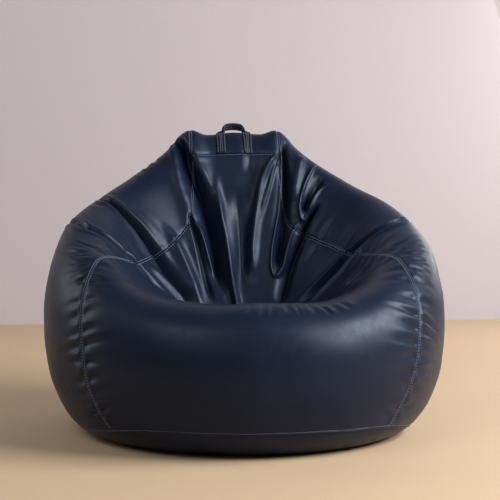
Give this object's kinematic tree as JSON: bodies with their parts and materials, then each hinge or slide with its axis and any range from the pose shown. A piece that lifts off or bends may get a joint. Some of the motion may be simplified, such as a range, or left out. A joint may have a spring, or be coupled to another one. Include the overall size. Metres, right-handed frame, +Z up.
{
  "type": "bean bag chair",
  "caption": "Bead-filled lounge chair: sewn leatherette cover of shaped panels with a sunken seat, raised back and arms, zip-closed round a lined fill, strap loop on top.",
  "frame": {"origin": "middle of the base, on the floor", "axes": "+X to the viewer's right seen from the front, +Y to the rear (the seat faces -Y), +Z up"},
  "size_m": [0.998, 0.98, 0.7781],
  "materials": {
    "leatherette": "dark navy polyurethane leatherette, fine pebble grain, satin",
    "strap": "folded leatherette strap, edge stitched",
    "lining_cloth": "undyed plain-weave polyester",
    "zip_tape": "herringbone zip tape, near black",
    "zip_coil": "moulded nylon coil, dark",
    "zip_metal": "die-cast zinc, black coated",
    "beads": "expanded polystyrene beads, white"
  },
  "bodies": {
    "root": {"front_panel": "leatherette", "left_side_panel": "leatherette", "right_side_panel": "leatherette", "rear_panel": "leatherette", "yoke_panel": "leatherette", "base_panel": "leatherette", "base_welt": "leatherette", "zip_garage": "leatherette", "handle_tabs": "strap", "handle_patch": "lining_cloth", "zip_tape_lower": "zip_tape", "zip_tape_upper": "zip_tape", "zip_coil_lower": "zip_coil", "zip_coil_upper": "zip_coil", "zip_stops": "zip_metal", "inner_liner": "lining_cloth", "liner_closure": "zip_tape", "bead_fill": "beads"},
    "handle": {"handle_loop": "strap"},
    "slider": {"zip_slider": "zip_metal"}
  },
  "joints": [
    {"name": "handle_swing", "type": "hinge", "parent": "root", "child": "handle", "pos_m": [0, 0.346, 0.74283], "axis": [1, 0, 0], "range_deg": [-20, 105], "stiffness_Nm_per_rad": 0.03, "springref_deg": 1.72},
    {"name": "zip_slide_round", "type": "hinge", "parent": "root", "child": "slider", "pos_m": [0, 0, 0.062], "axis": [0, 0, 1], "range_deg": [0, 71]}
  ]
}
